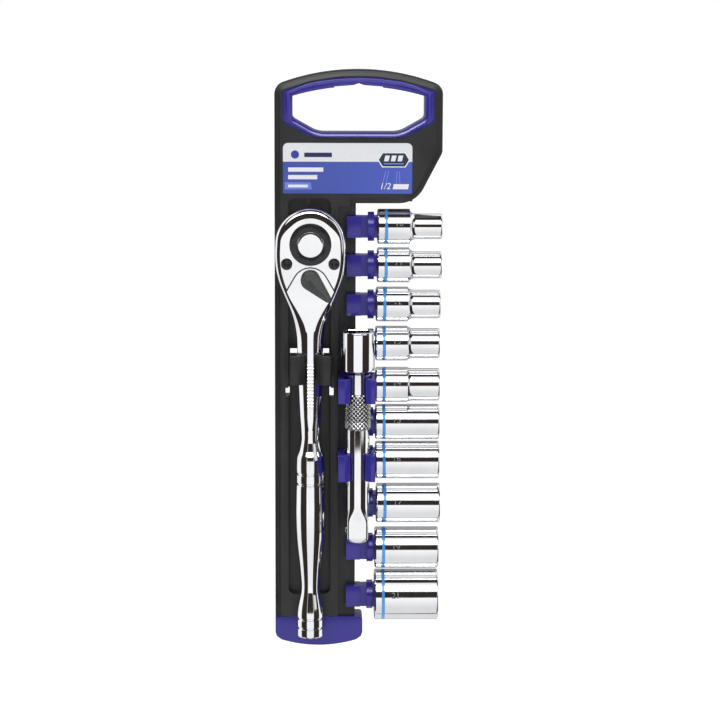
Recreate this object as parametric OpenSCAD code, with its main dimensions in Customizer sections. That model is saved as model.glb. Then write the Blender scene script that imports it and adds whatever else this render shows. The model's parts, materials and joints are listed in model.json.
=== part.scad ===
// Half-inch drive socket wrench set on its hanging storage rail.
// X is to the right, Z is up and the front faces -Y. The origin is the seat of the hang notch
// above the grip opening, on the plane of the rail's back rim. "Depth" is the distance in front
// of that plane, so a depth of 18 is the plane y = -18.

/* [Holder] */
// Width of the head plate
plate_w = 98; // [96:0.5:100]
// Depth of the black shell from back rim to front face
shell_depth = 18; // [17.5:0.1:18]
// Wall of the black shell
wall = 2.2; // [1.8:0.1:2.6]
// Width of the strip that hangs below the head plate
strip_w = 47.6; // [47:0.1:48]
// Depth of the trough that the ratchet lies over
trough_deep = 4.5; // [3.5:0.1:5]
// Height of the end cap
cap_h = 17.5; // [15:0.5:19]

/* [Sockets] */
// Length of every socket
socket_len = 38; // [36:0.5:40]
// Side of the drive square that all the tools share
drive_sq = 12.7; // [12.6:0.05:12.75]
// Side of the square hole in the sockets and the extension
drive_hole = 12.95; // [12.9:0.05:13.1]
// Side of the plastic square stub that a socket is pushed on to
stub_sq = 12.5; // [12.2:0.1:12.6]
// How far a stub reaches into its socket
stub_reach = 12; // [10:0.5:14]

/* [Ratchet] */
// Radius of the round head
head_r = 20.3; // [20:0.1:20.5]
// Thickness of the head, cover included
head_t = 18; // [17.5:0.5:18.5]
// Number of teeth on the drive wheel
teeth = 36; // [24:1:48]
// Angle of the reversing lever to either side of the handle
lever_angle = 43; // [38:1:45]

/* [Extension] */
// Length of the extension bar
bar_len = 125.8; // [122:0.2:126]
// Diameter of the bar's shaft
bar_d = 14; // [13:0.1:14.2]
// Diameter of the bar's socket end
bar_end_d = 19.6; // [19:0.1:20]

/* [Hidden] */
$fn = 48;
EPS = 0.01;
SOCKET_SIZES = [10, 11, 12, 13, 14, 15, 16, 17, 19, 21];
DRIVE_END_D = [20.6, 20.6, 20.6, 20.6, 20.8, 21, 22.4, 23.6, 24.8, 30.4];
NUT_END_D = [15, 15.8, 16.8, 17.8, 19.2, 21, 22.4, 23.6, 24.8, 30.4];
PEG_Z = [-83.3, -106, -129.2, -152.5, -177.2, -199.6, -222.6, -248.8, -276.1, -305];
CRADLE_PEGS = [4, 6];
SOCKET_NODES = [for (s = SOCKET_SIZES) str("socket_", s, "mm")];

// Places, as [x, z], and depths
half_w = plate_w / 2;
strip_right = -half_w + strip_w;
top_z = 7.9;
top_arc_r = 132.4;
corner_r = 7;
plate_bottom = -69.7;
strip_bottom = -318.1;
ratchet_x = -28;
trough = [-41, -16];
trough_ends = [-304, -66.7];
channel_left = -11.5;
channel_deep = 2.5;
head_z = -92;
boss_r = 11.5;
lever_z = -112.8;
ratchet_depth = 27.5;
head_back = ratchet_depth - head_t / 2;
head_front = ratchet_depth + head_t / 2;
cover_t = 2.5;
ball_depth = head_back - 8.5;
clip_x = ratchet_x - 0.5;
clip_z = [-174.2, -156.8];
clip_foot = -161.5;
peg_depth = 14.4;
block = [-6.8, 1.5];
flange = [5.6, 9.2];
flange_r = 8.6;
stub_end = flange[1] + 1 + stub_reach;
spine = [-11, -4.1];
bar_x = -0.3;
bar_depth = 33;
bar_top = -142.8;
bar_gap = 7.9;
clip_half = [7.2, 8];
ear_z = [-94.7, -164.8, -235.7, -290.5];
ear_x = -14;
peg_play = 0.1;
cradle_half = 7;
rib_wall = 1.6;
rib_z = [-138, -186, -205, -262];
rib_x = [-30, 0, 30];
label_box = [[-44, -63.9], [31.3, -34.5]];
cap_right = 3.2;
cap_bow = 4;
cap_wall = 1.8;
cap_play = 0.15;
cap_grip = 4.5;
clip_outer = 11.9;
cradle_reach = [11.6, 10.2];

// The drive: depths are from the back of the head
gear_r = 13;
gear_depths = [4.6, 13.2];
hub_r = 9.5;
drive_ring_r = 12.1;
drive_length = 15.3;
drive_ball_r = 2.4;
plunger_r = 2.5;
button_r = 7.6;
head_step = 39.5;
cover_inset = 2.2;
cover_screw = [13.7, -11.3];
cover_screw_r = 1.5;
cover_screw_head_r = 3.3;
lever_r = 5.7;
lever_tip_r = 2.1;
lever_reach = 14.6;
lever_pivot_r = 2.5;
lever_plate = 3.6;
detent_z = -8.5;
detent_r = 1.2;

// The extension's lower end
tip_neck = 14;
tip_r = 6.2;
knurl_r = 7.6;
bar_ball_z = 7.6;
bar_ball_r = 2.45;
ball_groove_r = 7.3;

// ---------- helpers ----------

// Extrudes a shape drawn in x and z between two depths
module slab(from, to) translate([0, -from, 0]) rotate([90, 0, 0]) linear_extrude(to - from) children();

// Extrudes a shape drawn in x and -depth between two heights
module column(from, to) translate([0, 0, from]) linear_extrude(to - from) children();

// A cylinder along the depth, centred on [x, z]
module pin(at, r, from, to) translate([at[0], -from, at[1]]) rotate([90, 0, 0]) cylinder(r = r, h = to - from);

// A box between two values of x, two depths and two heights
module block(x, depth, z) translate([x[0], -depth[1], z[0]])
    cube([x[1] - x[0], depth[1] - depth[0], z[1] - z[0]]);

function unit(v) = v / norm(v);

// The points of one corner, rounded to radius p[2]
function corner(before, p, after, n = 8) =
    p[2] <= 0 ? [[p[0], p[1]]] :
    let (c = [p[0], p[1]],
         a = unit([before[0], before[1]] - c),
         b = unit([after[0], after[1]] - c),
         half = acos(a * b) / 2,
         m = c + unit(a + b) * p[2] / sin(half),
         s = c + a * p[2] / tan(half) - m,
         e = c + b * p[2] / tan(half) - m,
         a0 = atan2(s[1], s[0]),
         turn = atan2(e[1], e[0]) - a0,
         sweep = turn > 180 ? turn - 360 : turn < -180 ? turn + 360 : turn)
    [for (i = [0:n]) m + p[2] * [cos(a0 + sweep * i / n), sin(a0 + sweep * i / n)]];

// A closed outline from corners given as [x, z, radius]
function rounded(pts) =
    let (n = len(pts))
    [for (i = [0:n - 1]) each corner(pts[(i + n - 1) % n], pts[i], pts[(i + 1) % n])];

function arc(centre, r, from, to, n) =
    [for (i = [0:n]) centre + r * [cos(from + (to - from) * i / n), sin(from + (to - from) * i / n)]];

// The arched top of an opening: an arc from [x, edge] over [0, top] to [-x, edge]
function arch(x, edge, top, n = 20) =
    let (rise = top - edge, r = (x * x + rise * rise) / (2 * rise), half = asin(x / r))
    arc([0, top - r], r, 90 - half, 90 + half, n);

function bezier(p, t) =
    pow(1 - t, 3) * p[0] + 3 * pow(1 - t, 2) * t * p[1] + 3 * (1 - t) * t * t * p[2] + pow(t, 3) * p[3];

function distinct(pts) =
    [for (i = [0:len(pts) - 1]) if (norm(pts[i] - pts[(i + 1) % len(pts)]) > 0.05) pts[i]];

// A solid skinned over rings of points, which all have the same count
module skinned(rings) {
    n = len(rings) - 1;
    sides = len(rings[0]);
    skin = [for (i = [0:n - 1], k = [0:sides - 1])
        let (j = (k + 1) % sides)
        [i * sides + k, (i + 1) * sides + k, (i + 1) * sides + j, i * sides + j]];
    start = [for (k = [0:sides - 1]) k];
    end = [for (k = [sides - 1:-1:0]) n * sides + k];
    polyhedron([for (ring = rings) each ring], concat(skin, [start], [end]));
}

// A coil spring along z, as a tube swept along a helix
module coil(r, wire, length, turns, steps = 10, sides = 6) {
    n = turns * steps;
    climb = (length - 2 * wire) / n;
    skinned([for (i = [0:n]) [for (k = [0:sides - 1])
        let (a = 360 * i / steps, ring = r + wire * cos(360 * k / sides))
        [ring * cos(a), ring * sin(a), wire + climb * i + wire * sin(360 * k / sides)]]]);
}

// ---------- holder ----------

// The head plate with its arched top, and the strip below it
module holder_outline() {
    reach = top_arc_r - corner_r;
    side = half_w - corner_r;
    rise = sqrt(reach * reach - side * side);
    lean = atan2(rise, side);
    corner_z = top_z - top_arc_r + rise;
    polygon(distinct(concat(
        rounded([[-half_w, strip_bottom, 0], [strip_right, strip_bottom, 0], [strip_right, plate_bottom, 0],
            [33.5, plate_bottom, 16], [half_w, -40, 6], [half_w, corner_z - 1, 0]]),
        arc([side, corner_z], corner_r, 0, lean, 8),
        arc([0, top_z - top_arc_r], top_arc_r, lean, 180 - lean, 28),
        arc([-side, corner_z], corner_r, 180 - lean, 180, 8))));
}

module grip_outer() polygon(concat(
    arch(44.2, -4.5, 3.8),
    rounded([[-44.2, -4.6, 0], [-44.2, -22.5, 4], [-27, -31.4, 16], [27, -31.4, 16], [44.2, -22.5, 4],
        [44.2, -4.6, 0]])));

// The hand opening, with the shallow relief and the hang notch in its ceiling
module grip_inner() {
    polygon(concat(
        arch(38.5, -7.4, -1.8),
        rounded([[-38.5, -7.5, 0], [-38.5, -20, 3], [-24, -28.2, 16], [24, -28.2, 16], [38.5, -20, 3],
            [38.5, -7.5, 0]])));
    polygon([[-15, -4], [-14, -1.9], [-3, -1.1], [0, 0], [3, -1.1], [14, -1.9], [15, -4]]);
}

module trough_outline(grow) {
    wide = trough[1] - trough[0] + 2 * grow;
    tall = trough_ends[1] - trough_ends[0] + 2 * grow;
    polygon([for (p = rounded([[0, 0, 4], [wide, 0, 4], [wide, tall, 4], [0, tall, 4]]))
        p + [trough[0] - grow, trough_ends[0] - grow]]);
}

// Room inside the shell behind its front wall
module shell_cavity() {
    difference() {
        slab(-1, shell_depth - wall) difference() {
            offset(delta = -wall) holder_outline();
            offset(delta = wall) grip_outer();
        }
        slab(shell_depth - wall - trough_deep, shell_depth) trough_outline(wall);
        block([channel_left - wall - 1, strip_right + 1], [shell_depth - wall - channel_deep, shell_depth],
            [strip_bottom - 1, plate_bottom - 1.5 + wall]);
    }
}

// One springy jaw, seen along z, with a lip that hooks over a round bar of radius r on the axis
module jaw(r, outer, foot, tip, lip) polygon([[r, foot], [outer, foot], [outer, tip], [r - 0.3, tip],
    [lip, tip - 1.9], [lip + 0.2, tip - 2.9], [r, tip - 6.2]]);

// Two jaws that hold the ratchet's shank
module ratchet_clip() color("dimgray") difference() {
    column(clip_z[0], clip_z[1]) translate([ratchet_x, -ratchet_depth]) for (side = [-1, 1])
        scale([side, -1]) jaw(7.7, clip_outer, shell_depth - trough_deep - ratchet_depth, 10, 3.2);
    block([ratchet_x - 20, ratchet_x + 20], [10, 24], [clip_foot, clip_z[1] + 1]);
}

// Two jaws that hold the extension bar, over peg i
module bar_clip(i) color("mediumblue") translate([0, 0, PEG_Z[i]])
    column(-clip_half[i == CRADLE_PEGS[0] ? 0 : 1], clip_half[i == CRADLE_PEGS[0] ? 0 : 1])
        translate([bar_x, -bar_depth]) for (side = [-1, 1])
            scale([side, -1]) jaw(bar_gap, cradle_reach[side > 0 ? 1 : 0], -bar_gap, 9.5, 4.4);

module upper_bar_clip() bar_clip(CRADLE_PEGS[0]);
module lower_bar_clip() bar_clip(CRADLE_PEGS[1]);

// The four mould windows beside the jaws
module jaw_windows() for (side = [-1, 1]) {
    upper = clip_x + side * 9.4;
    lower = clip_x + side * 13;
    block([upper - 2.1, upper + 2.1], [5, 20], [clip_foot + 0.2, clip_foot + 5.7]);
    block([lower - 1.2, lower + 1.2], [5, 20], [clip_z[0] - 10, clip_z[0] - 4.6]);
}

module tray() color("dimgray") {
    difference() {
        union() {
            difference() {
                slab(0, shell_depth) holder_outline();
                shell_cavity();
                slab(shell_depth - trough_deep, shell_depth + 1) trough_outline(0);
                block([channel_left, strip_right + 1], [shell_depth - channel_deep, shell_depth + 1],
                    [strip_bottom - 1, plate_bottom - 1.5]);
                block([-half_w + wall, strip_right - wall], [-1, shell_depth - wall - channel_deep],
                    [strip_bottom - 1, strip_bottom + wall + 1]);
            }
            pin([ratchet_x, head_z], boss_r, 9, head_back - 0.3);
            for (z = ear_z) pin([ear_x, z], 2.9, 9.1, 13.4);
            for (z = rib_z)
                block([-half_w + 1, -17], [1.5, shell_depth - trough_deep - 1], [z, z + rib_wall]);
            for (x = rib_x) block([x, x + rib_wall], [1.5, shell_depth - 1], [-67.6 - 1, -32.5]);
        }
        slab(-1, shell_depth + 1) grip_outer();
        pin([ratchet_x, head_z], 9.6, -1, 25);
        jaw_windows();
        for (z = ear_z) pin([ear_x, z], 1.45, 9, 14.2);
        for (i = [0:len(PEG_Z) - 1]) peg_notch(i);
    }
}

function has_cradle(i) = len(search(i, CRADLE_PEGS)) > 0;

// The room that one peg needs through the shell's right-hand corner
module peg_notch(i) {
    half = stub_sq / 2 + peg_play;
    left = bar_x - cradle_reach[0] - 2 * peg_play;
    room = cradle_half + 0.4;
    z = PEG_Z[i];
    block([block[0] - peg_play, strip_right + 1], [peg_depth - half, shell_depth + 1], [z - half, z + half]);
    if (has_cradle(i))
        block([left, strip_right + 1], [shell_depth - channel_deep, shell_depth + 1], [z - room, z + room]);
}

module grip_ring() color("mediumblue") difference() {
    union() {
        slab(0.4, shell_depth - 0.2) offset(delta = -0.1) grip_outer();
        slab(shell_depth - 0.3, shell_depth + 1) offset(delta = -0.9) grip_outer();
    }
    slab(-1, shell_depth + 2) grip_inner();
}

module label() color("royalblue") slab(shell_depth + 0.02, shell_depth + 0.35)
    polygon(rounded([[label_box[0][0], label_box[0][1], 1], [label_box[1][0], label_box[0][1], 1],
        [label_box[1][0], label_box[1][1], 3], [label_box[0][0], label_box[1][1], 3]]));

// One peg: block, neck, flange and the square stub for a socket
module peg(i) {
    half = stub_sq / 2;
    z = [PEG_Z[i] - half, PEG_Z[i] + half];
    depth = [peg_depth - half, peg_depth + half];
    block(block, depth, z);
    block([block[1] - EPS, flange[0] + EPS], [depth[0] + 1, depth[1] - 1.2], z);
    translate([flange[0], -peg_depth, PEG_Z[i]]) rotate([0, 90, 0])
        cylinder(r = flange_r, h = flange[1] - flange[0]);
    block([flange[1] - EPS, stub_end - 1], depth, z);
    block([stub_end - 1 - EPS, stub_end], depth + [0.8, -0.8], z + [0.8, -0.8]);
}

// The saddle that carries one pair of the extension bar's jaws, over one peg
module cradle(i) {
    z = [PEG_Z[i] - cradle_half, PEG_Z[i] + cradle_half];
    saddle = bar_depth - bar_gap;
    outer = [bar_x - cradle_reach[0], bar_x + cradle_reach[1]];
    block([outer[0], block[0] + 1], [shell_depth - channel_deep + 0.05, saddle], z);
    block([block[0], outer[1]], [peg_depth + stub_sq / 2 - 1, saddle], z);
}

module peg_rail() color("mediumblue") difference() {
    union() {
        block(spine, [6, 13], [PEG_Z[9] - stub_sq / 2, PEG_Z[0] + stub_sq / 2]);
        for (i = [0:len(PEG_Z) - 1]) peg(i);
        for (i = CRADLE_PEGS) cradle(i);
        for (z = ear_z) block([ear_x - 3.2, spine[0] + 1], [6, 9], [z - 3.5, z + 3.5]);
    }
    for (z = ear_z) pin([ear_x, z], 1.6, 5, 10);
}

module rail_screws() color("gray") for (z = ear_z) difference() {
    union() {
        pin([ear_x, z], 2.8, 4.2, 5.98);
        pin([ear_x, z], 1.4, 5.9, 14);
    }
    block([ear_x - 2, ear_x + 2], [4, 4.9], [z - 0.35, z + 0.35]);
    block([ear_x - 0.35, ear_x + 0.35], [4, 4.9], [z - 2, z + 2]);
}

// The cap's outline: square shoulders at the top and a bowed bottom edge
module cap_outline(inset) offset(delta = -inset) {
    mid = (cap_right - half_w) / 2;
    half = (cap_right + half_w) / 2;
    foot = strip_bottom - cap_h + cap_bow;
    bottom = [for (i = [0:16]) let (t = -1 + i / 8)
        [mid + half * 0.86 * t, foot - cap_bow * (1 - t * t * 0.85)]];
    polygon(concat(
        bottom,
        [[cap_right - 0.8, foot + 1.6], [cap_right, foot + 4]],
        corner([cap_right, foot], [cap_right, strip_bottom - 0.05, 2], [mid, strip_bottom - 0.05]),
        [[-half_w, strip_bottom - 0.05], [-half_w, foot + 4], [-half_w + 0.8, foot + 1.6]]));
}

// The cap and the hollow plug that holds it in the foot of the shell
module end_cap() color("mediumblue") {
    plug_x = [-half_w + wall + cap_play, strip_right - wall - cap_play];
    plug_z = [strip_bottom - 0.2, strip_bottom + cap_grip];
    difference() {
        slab(0, shell_depth) cap_outline(0);
        slab(-1, shell_depth - wall) cap_outline(cap_wall);
    }
    difference() {
        block(plug_x, [0.5, shell_depth - wall - channel_deep - cap_play], plug_z);
        block([plug_x[0] + 1.65, plug_x[1] - 1.65], [-1, 11], [plug_z[0] - 1, plug_z[1] + 1]);
    }
}

// ---------- ratchet ----------

// Half of the head's outline below its centre, from the round head to the shank
HEAD_SIDE = [[head_r, 0], [head_r + 2.2, -27], [10, -31], [7.6, -56]];
function head_outline(n = 16) = concat(
    arc([0, 0], head_r, 0, 180, 24),
    [for (i = [1:n]) let (p = bezier(HEAD_SIDE, i / n)) [-p[0], p[1]]],
    [for (i = [n:-1:1]) bezier(HEAD_SIDE, i / n)]);

module head_shape() translate([ratchet_x, head_z]) polygon(head_outline());

// The cover is the head's outline, inset, with an arched gap cut out of its foot for the lever
module cover_shape() difference() {
    offset(delta = -cover_inset) head_shape();
    translate([ratchet_x, lever_z])
        polygon(rounded([[0, 17, 10], [30, -35, 0], [30, -60, 0], [-30, -60, 0], [-30, -35, 0]]));
}

// Radius of the handle along its length, as [z, radius]
HANDLE = [[-145, 7.6], [-152.1, 7.5], [-191.7, 6.3], [-208.5, 5.6], [-214, 6.2], [-218.3, 8.2],
    [-227.4, 8.4], [-227.7, 7.9], [-228.4, 7.9], [-228.7, 8.4], [-233.3, 8.4], [-233.6, 7.9],
    [-234.3, 7.9], [-234.6, 8.4], [-254.1, 8.8], [-268.9, 8.15], [-284.8, 6.4], [-297.8, 5.5],
    [-304.3, 6.4], [-308.8, 7.5], [-315.1, 8], [-315.4, 7.5], [-316, 7.5], [-316.3, 8], [-320.7, 8],
    [-321, 7.5], [-321.6, 7.5], [-321.9, 8], [-326.3, 7.9], [-327.1, 7]];

module gear_room() {
    floor = head_back + gear_depths[0] - 0.3;
    pin([ratchet_x, head_z], hub_r + 0.2, head_back - 1, head_back + 6);
    pin([ratchet_x, head_z], gear_r + 0.4, floor, head_front + 1);
    slab(floor, head_front) translate([ratchet_x, head_z]) pawl_sector(gear_r, gear_r + 4.3, 34);
    pin([ratchet_x, lever_z], lever_pivot_r + 0.2, head_back + 3, head_front);
}

module ratchet_handle() color("silver") {
    difference() {
        union() {
            slab(head_back, head_front - cover_t) intersection() {
                head_shape();
                translate([ratchet_x - 30, head_z - head_step]) square([60, 70]);
            }
            slab(head_back + 1.4, head_front - 1.4) difference() {
                head_shape();
                translate([ratchet_x - 30, head_z - head_step + EPS]) square([60, 70]);
            }
            translate([ratchet_x, -ratchet_depth, 0]) rotate_extrude()
                polygon(concat([[0, HANDLE[0][0]]], [for (p = HANDLE) [p[1], p[0]]], [[0, HANDLE[29][0]]]));
        }
        gear_room();
        for (side = [-1, 1]) pin(cover_screw_at(side), cover_screw_r + 0.05, head_back + 5, head_front);
    }
}

function cover_screw_at(side) = [ratchet_x + side * cover_screw[0], head_z + cover_screw[1]];

module head_cover() color("silver") difference() {
    slab(head_front - cover_t, head_front) cover_shape();
    pin([ratchet_x, head_z], drive_ring_r + 0.2, head_back, head_front + 1);
    for (side = [-1, 1]) {
        pin(cover_screw_at(side), cover_screw_r + 0.2, head_back, head_front + 1);
        pin(cover_screw_at(side), cover_screw_head_r + 0.1, head_front - 1.4, head_front + 1);
    }
}

module cover_screws() color("dimgray") for (side = [-1, 1]) difference() {
    union() {
        pin(cover_screw_at(side), cover_screw_head_r, head_front - 1.38, head_front - 0.1);
        pin(cover_screw_at(side), cover_screw_r, head_back + 6, head_front - 1.3);
    }
    slab(head_front - 1, head_front + 1) translate(cover_screw_at(side)) circle(r = 1.5, $fn = 6);
}

// A ring sector below the head's centre, for the pawl and its pocket
module pawl_sector(inner, outer, half) polygon(concat(
    arc([0, 0], outer, 270 - half, 270 + half, 12),
    arc([0, 0], inner, 270 + half, 270 - half, 12)));

module pawl() color("gray") slab(head_back + gear_depths[0], head_back + gear_depths[1] - 0.2)
    translate([ratchet_x, head_z]) rotate(5) difference() {
        pawl_sector(gear_r + 0.2, gear_r + 4, 24);
        for (i = [-2:2]) rotate(270 + i * 360 / teeth) translate([gear_r + 0.1, 0]) circle(r = 0.9, $fn = 3);
    }

module drive_gear() color("dimgray") translate([ratchet_x, 0, head_z]) difference() {
    union() {
        slab(head_back + gear_depths[0], head_back + gear_depths[1]) polygon([for (i = [0:teeth - 1], k = [0:2])
            let (a = 360 * (i + [0.04, 0.5, 0.62][k]) / teeth, r = gear_r - [1, 0, 0][k]) r * [cos(a), sin(a)]]);
        pin([0, 0], hub_r, head_back, head_back + gear_depths[0] + 0.4);
        pin([0, 0], drive_ring_r, head_back + gear_depths[1] - 0.2, head_front + 0.8);
        slab(head_back - drive_length, head_back + 1) square(drive_sq, center = true);
    }
    pin([0, 0], button_r + 0.15, head_back + 9, head_front + 2);
    pin([0, 0], plunger_r + 0.2, head_back - 14.6, head_back + 10);
    translate([0, -ball_depth, 0]) rotate([0, 90, 0]) cylinder(r = drive_ball_r + 0.1, h = 6.5);
}

module drive_ball() color("silver") translate([ratchet_x + drive_sq / 2 - 1.4, -ball_depth, head_z])
    sphere(r = drive_ball_r);

// The button and its plunger. The plunger's waist lets the ball sink in once the button is pressed.
module release_button() color("silver") translate([ratchet_x, 0, head_z]) rotate([90, 0, 0]) rotate_extrude()
    polygon([[0, ball_depth - 3], [2.3, ball_depth - 3], [2.3, ball_depth], [1.3, ball_depth + 2.5],
        [1.3, ball_depth + 4.8], [plunger_r, ball_depth + 6], [plunger_r, head_front - 3.5],
        [button_r, head_front - 3.5], [button_r, head_front + 1.2], [button_r - 0.5, head_front + 1.6],
        [4, head_front + 2.1], [0, head_front + 2.3]]);

module release_spring() color("gray") translate([ratchet_x, -(head_back + 9.1), head_z])
    rotate([90, 0, 0]) coil(4.6, 0.45, 5.3, 4, 12);

lever_back = head_front - cover_t + 0.3;

// The lever, pointing down; the pivot is the origin
module lever_shape() hull() {
    circle(r = lever_r);
    translate([0, -lever_reach]) circle(r = lever_tip_r);
}

module on_lever() translate([ratchet_x, 0, lever_z]) rotate([0, -lever_angle, 0]) children();

module reversing_lever() color("dimgray") on_lever() {
    difference() {
        union() {
            slab(lever_back, lever_back + lever_plate) lever_shape();
            slab(lever_back + lever_plate - 0.1, lever_back + lever_plate + 1)
                offset(delta = -0.9) lever_shape();
        }
        pin([0, detent_z], detent_r + 0.1, lever_back - 1, lever_back + lever_plate + 0.2);
    }
    pin([0, 0], lever_pivot_r, head_back + 3.5, lever_back + 0.1);
}

module detent_ball() color("silver") on_lever() translate([0, -(lever_back + 0.95), detent_z])
    sphere(r = detent_r);

module detent_spring() color("gray") on_lever() translate([0, -(lever_back + 2.2), detent_z])
    rotate([90, 0, 0]) coil(0.9, 0.2, 1.5, 3, 8);

// ---------- extension bar ----------

// The bar's outline as [radius, height above its lower tip], without the square
function bar_profile() = let (r = bar_d / 2, e = bar_end_d / 2, top = bar_len) [
    [0, tip_neck], [tip_r, tip_neck], [r, 18.4], [r, 68.5], [knurl_r, 69.2], [knurl_r, 87.9], [r, 88.6],
    [r, 100.2], [e - 1, 102.4],
    [e, 103.2], [e, top - 0.8], [e - 0.8, top], [0, top]];

module extension_bar() color("silver") translate([bar_x, -bar_depth, bar_top - bar_len]) difference() {
    union() {
        rotate_extrude() polygon(bar_profile());
        intersection() {
            translate([-drive_sq / 2, -drive_sq / 2, 0]) cube([drive_sq, drive_sq, 17]);
            union() {
                cylinder(r1 = tip_r, r2 = 8.2, h = 2.6);
                translate([0, 0, 2.6 - EPS]) cylinder(r = 8.2, h = 15);
            }
        }
    }
    translate([-drive_hole / 2, -drive_hole / 2, bar_len - 16]) cube([drive_hole, drive_hole, 17]);
    translate([0, 0, bar_len - 9.5]) cylinder(r = ball_groove_r, h = 3);
    translate([-drive_sq / 2 - 1, 0, bar_ball_z]) rotate([0, 90, 0]) cylinder(r = bar_ball_r + 0.1, h = 9);
}

module extension_ball() color("silver")
    translate([bar_x - drive_sq / 2 + 1.1, -bar_depth, bar_top - bar_len + bar_ball_z]) sphere(r = bar_ball_r);

module extension_spring() color("gray")
    translate([bar_x - 2.75, -bar_depth, bar_top - bar_len + bar_ball_z]) rotate([0, 90, 0])
        coil(1.6, 0.3, 4.2, 4);

// ---------- sockets ----------

band = [4.3, 6.1];
shoulder = [19, 22.8];
square_deep = 16;
hex_deep = 16;
hex_chamfer = 0.9;
hex_play = 0.2;
band_sunk = 0.25;
web_most_r = 5.6;

// Outside of a socket from its drive end, as [radius, length]
function socket_profile(drive_r, nut_r) = concat(
    [[0, 0], [drive_r - 0.9, 0], [drive_r, 0.9], [drive_r, band[0]], [drive_r - band_sunk, band[0] + 0.05],
     [drive_r - band_sunk, band[1] - 0.05], [drive_r, band[1]]],
    nut_r < drive_r - 0.2
        ? [for (i = [0:6]) let (a = i * 15)
            [nut_r + (drive_r - nut_r) * (1 - sin(a)), shoulder[0] + (shoulder[1] - shoulder[0]) * (1 - cos(a))]]
        : [],
    [[nut_r, socket_len - 0.7], [nut_r - 0.7, socket_len], [0, socket_len]]);

// How far each socket stands off the flange of its peg
STAND_OFF = [1.9, 1.8, 1.2, 1, 1.1, 1.1, 1.2, 1.8, 1.1, 1];

module socket(i) {
    drive_r = DRIVE_END_D[i] / 2;
    nut_r = NUT_END_D[i] / 2;
    hex_r = (SOCKET_SIZES[i] + hex_play) / sqrt(3);
    web_r = min(SOCKET_SIZES[i] / 2 - 1.2, web_most_r);
    color("silver") translate([flange[1] + STAND_OFF[i], -peg_depth, PEG_Z[i]]) rotate([0, 90, 0]) difference() {
        rotate_extrude() polygon(socket_profile(drive_r, nut_r));
        translate([-drive_hole / 2, -drive_hole / 2, -1]) cube([drive_hole, drive_hole, square_deep + 1]);
        translate([0, 0, 6.5]) cylinder(r = ball_groove_r, h = 3);
        translate([0, 0, -1]) cylinder(r = web_r, h = socket_len + 2);
        translate([0, 0, socket_len - hex_deep]) rotate(30) cylinder(r = hex_r, h = hex_deep + 1, $fn = 6);
        translate([0, 0, socket_len - hex_chamfer])
            cylinder(r1 = (SOCKET_SIZES[i] + hex_play) / 2, r2 = hex_r + 0.35, h = hex_chamfer + EPS);
    }
}

tray();
grip_ring();
label();
peg_rail();
rail_screws();
end_cap();
ratchet_clip();
upper_bar_clip();
lower_bar_clip();
ratchet_handle();
head_cover();
cover_screws();
drive_gear();
drive_ball();
release_button();
release_spring();
reversing_lever();
detent_ball();
detent_spring();
pawl();
extension_bar();
extension_ball();
extension_spring();
for (i = [0:len(SOCKET_SIZES) - 1]) socket(i);
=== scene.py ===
"""The looks of a half-inch drive socket wrench set on its hanging rail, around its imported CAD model."""
import json
import math

import bmesh
import bpy
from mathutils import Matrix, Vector


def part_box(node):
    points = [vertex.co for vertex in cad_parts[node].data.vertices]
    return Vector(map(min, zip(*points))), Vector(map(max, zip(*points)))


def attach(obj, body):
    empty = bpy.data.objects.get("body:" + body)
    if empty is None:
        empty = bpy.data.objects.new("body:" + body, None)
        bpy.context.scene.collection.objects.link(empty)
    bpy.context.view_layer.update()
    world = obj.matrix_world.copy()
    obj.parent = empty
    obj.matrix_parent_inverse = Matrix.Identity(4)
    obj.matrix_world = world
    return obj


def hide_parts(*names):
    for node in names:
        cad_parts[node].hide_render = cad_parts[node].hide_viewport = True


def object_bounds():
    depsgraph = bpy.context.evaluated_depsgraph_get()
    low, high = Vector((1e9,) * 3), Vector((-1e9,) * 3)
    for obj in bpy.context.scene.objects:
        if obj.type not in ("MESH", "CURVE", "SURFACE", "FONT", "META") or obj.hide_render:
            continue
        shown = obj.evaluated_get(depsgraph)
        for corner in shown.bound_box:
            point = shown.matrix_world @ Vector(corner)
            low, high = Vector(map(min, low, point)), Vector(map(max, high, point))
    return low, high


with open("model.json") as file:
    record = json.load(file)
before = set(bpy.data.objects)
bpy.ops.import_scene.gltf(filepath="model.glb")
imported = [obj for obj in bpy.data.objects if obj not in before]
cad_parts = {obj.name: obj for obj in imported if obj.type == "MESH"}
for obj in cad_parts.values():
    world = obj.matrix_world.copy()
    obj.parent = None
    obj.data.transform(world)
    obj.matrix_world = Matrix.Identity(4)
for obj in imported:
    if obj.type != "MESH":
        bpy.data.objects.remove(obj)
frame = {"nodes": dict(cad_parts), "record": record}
cad_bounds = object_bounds()

MM = 0.001
SIDES = 96
NUT_END_R = {10: 7.5, 11: 7.9, 12: 8.4, 13: 8.9, 14: 9.6}
SOCKET_SIZES = [10, 11, 12, 13, 14, 15, 16, 17, 19, 21]
SHELL_DEPTH = 18.0
HEX_PLAY = 0.2
DRIVE_HOLE = 12.95
DRIVE_SQUARE = 12.7
SHANK_RIBS = 13
RIB_PITCH = 2.05
DOT_R = 2.4
FLOOR_DROP = 0.3


# ---------- shader values ----------


class Value:
    """One shader value of a finish. Sums and products of values add their Math nodes."""

    def __init__(self, finish, socket):
        self.finish = finish
        self.socket = socket

    def __add__(self, other):
        return self.finish.maths("ADD", self, other)

    __radd__ = __add__

    def __sub__(self, other):
        return self.finish.maths("SUBTRACT", self, other)

    def __rsub__(self, other):
        return self.finish.maths("SUBTRACT", other, self)

    def __mul__(self, other):
        return self.finish.maths("MULTIPLY", self, other)

    __rmul__ = __mul__


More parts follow.
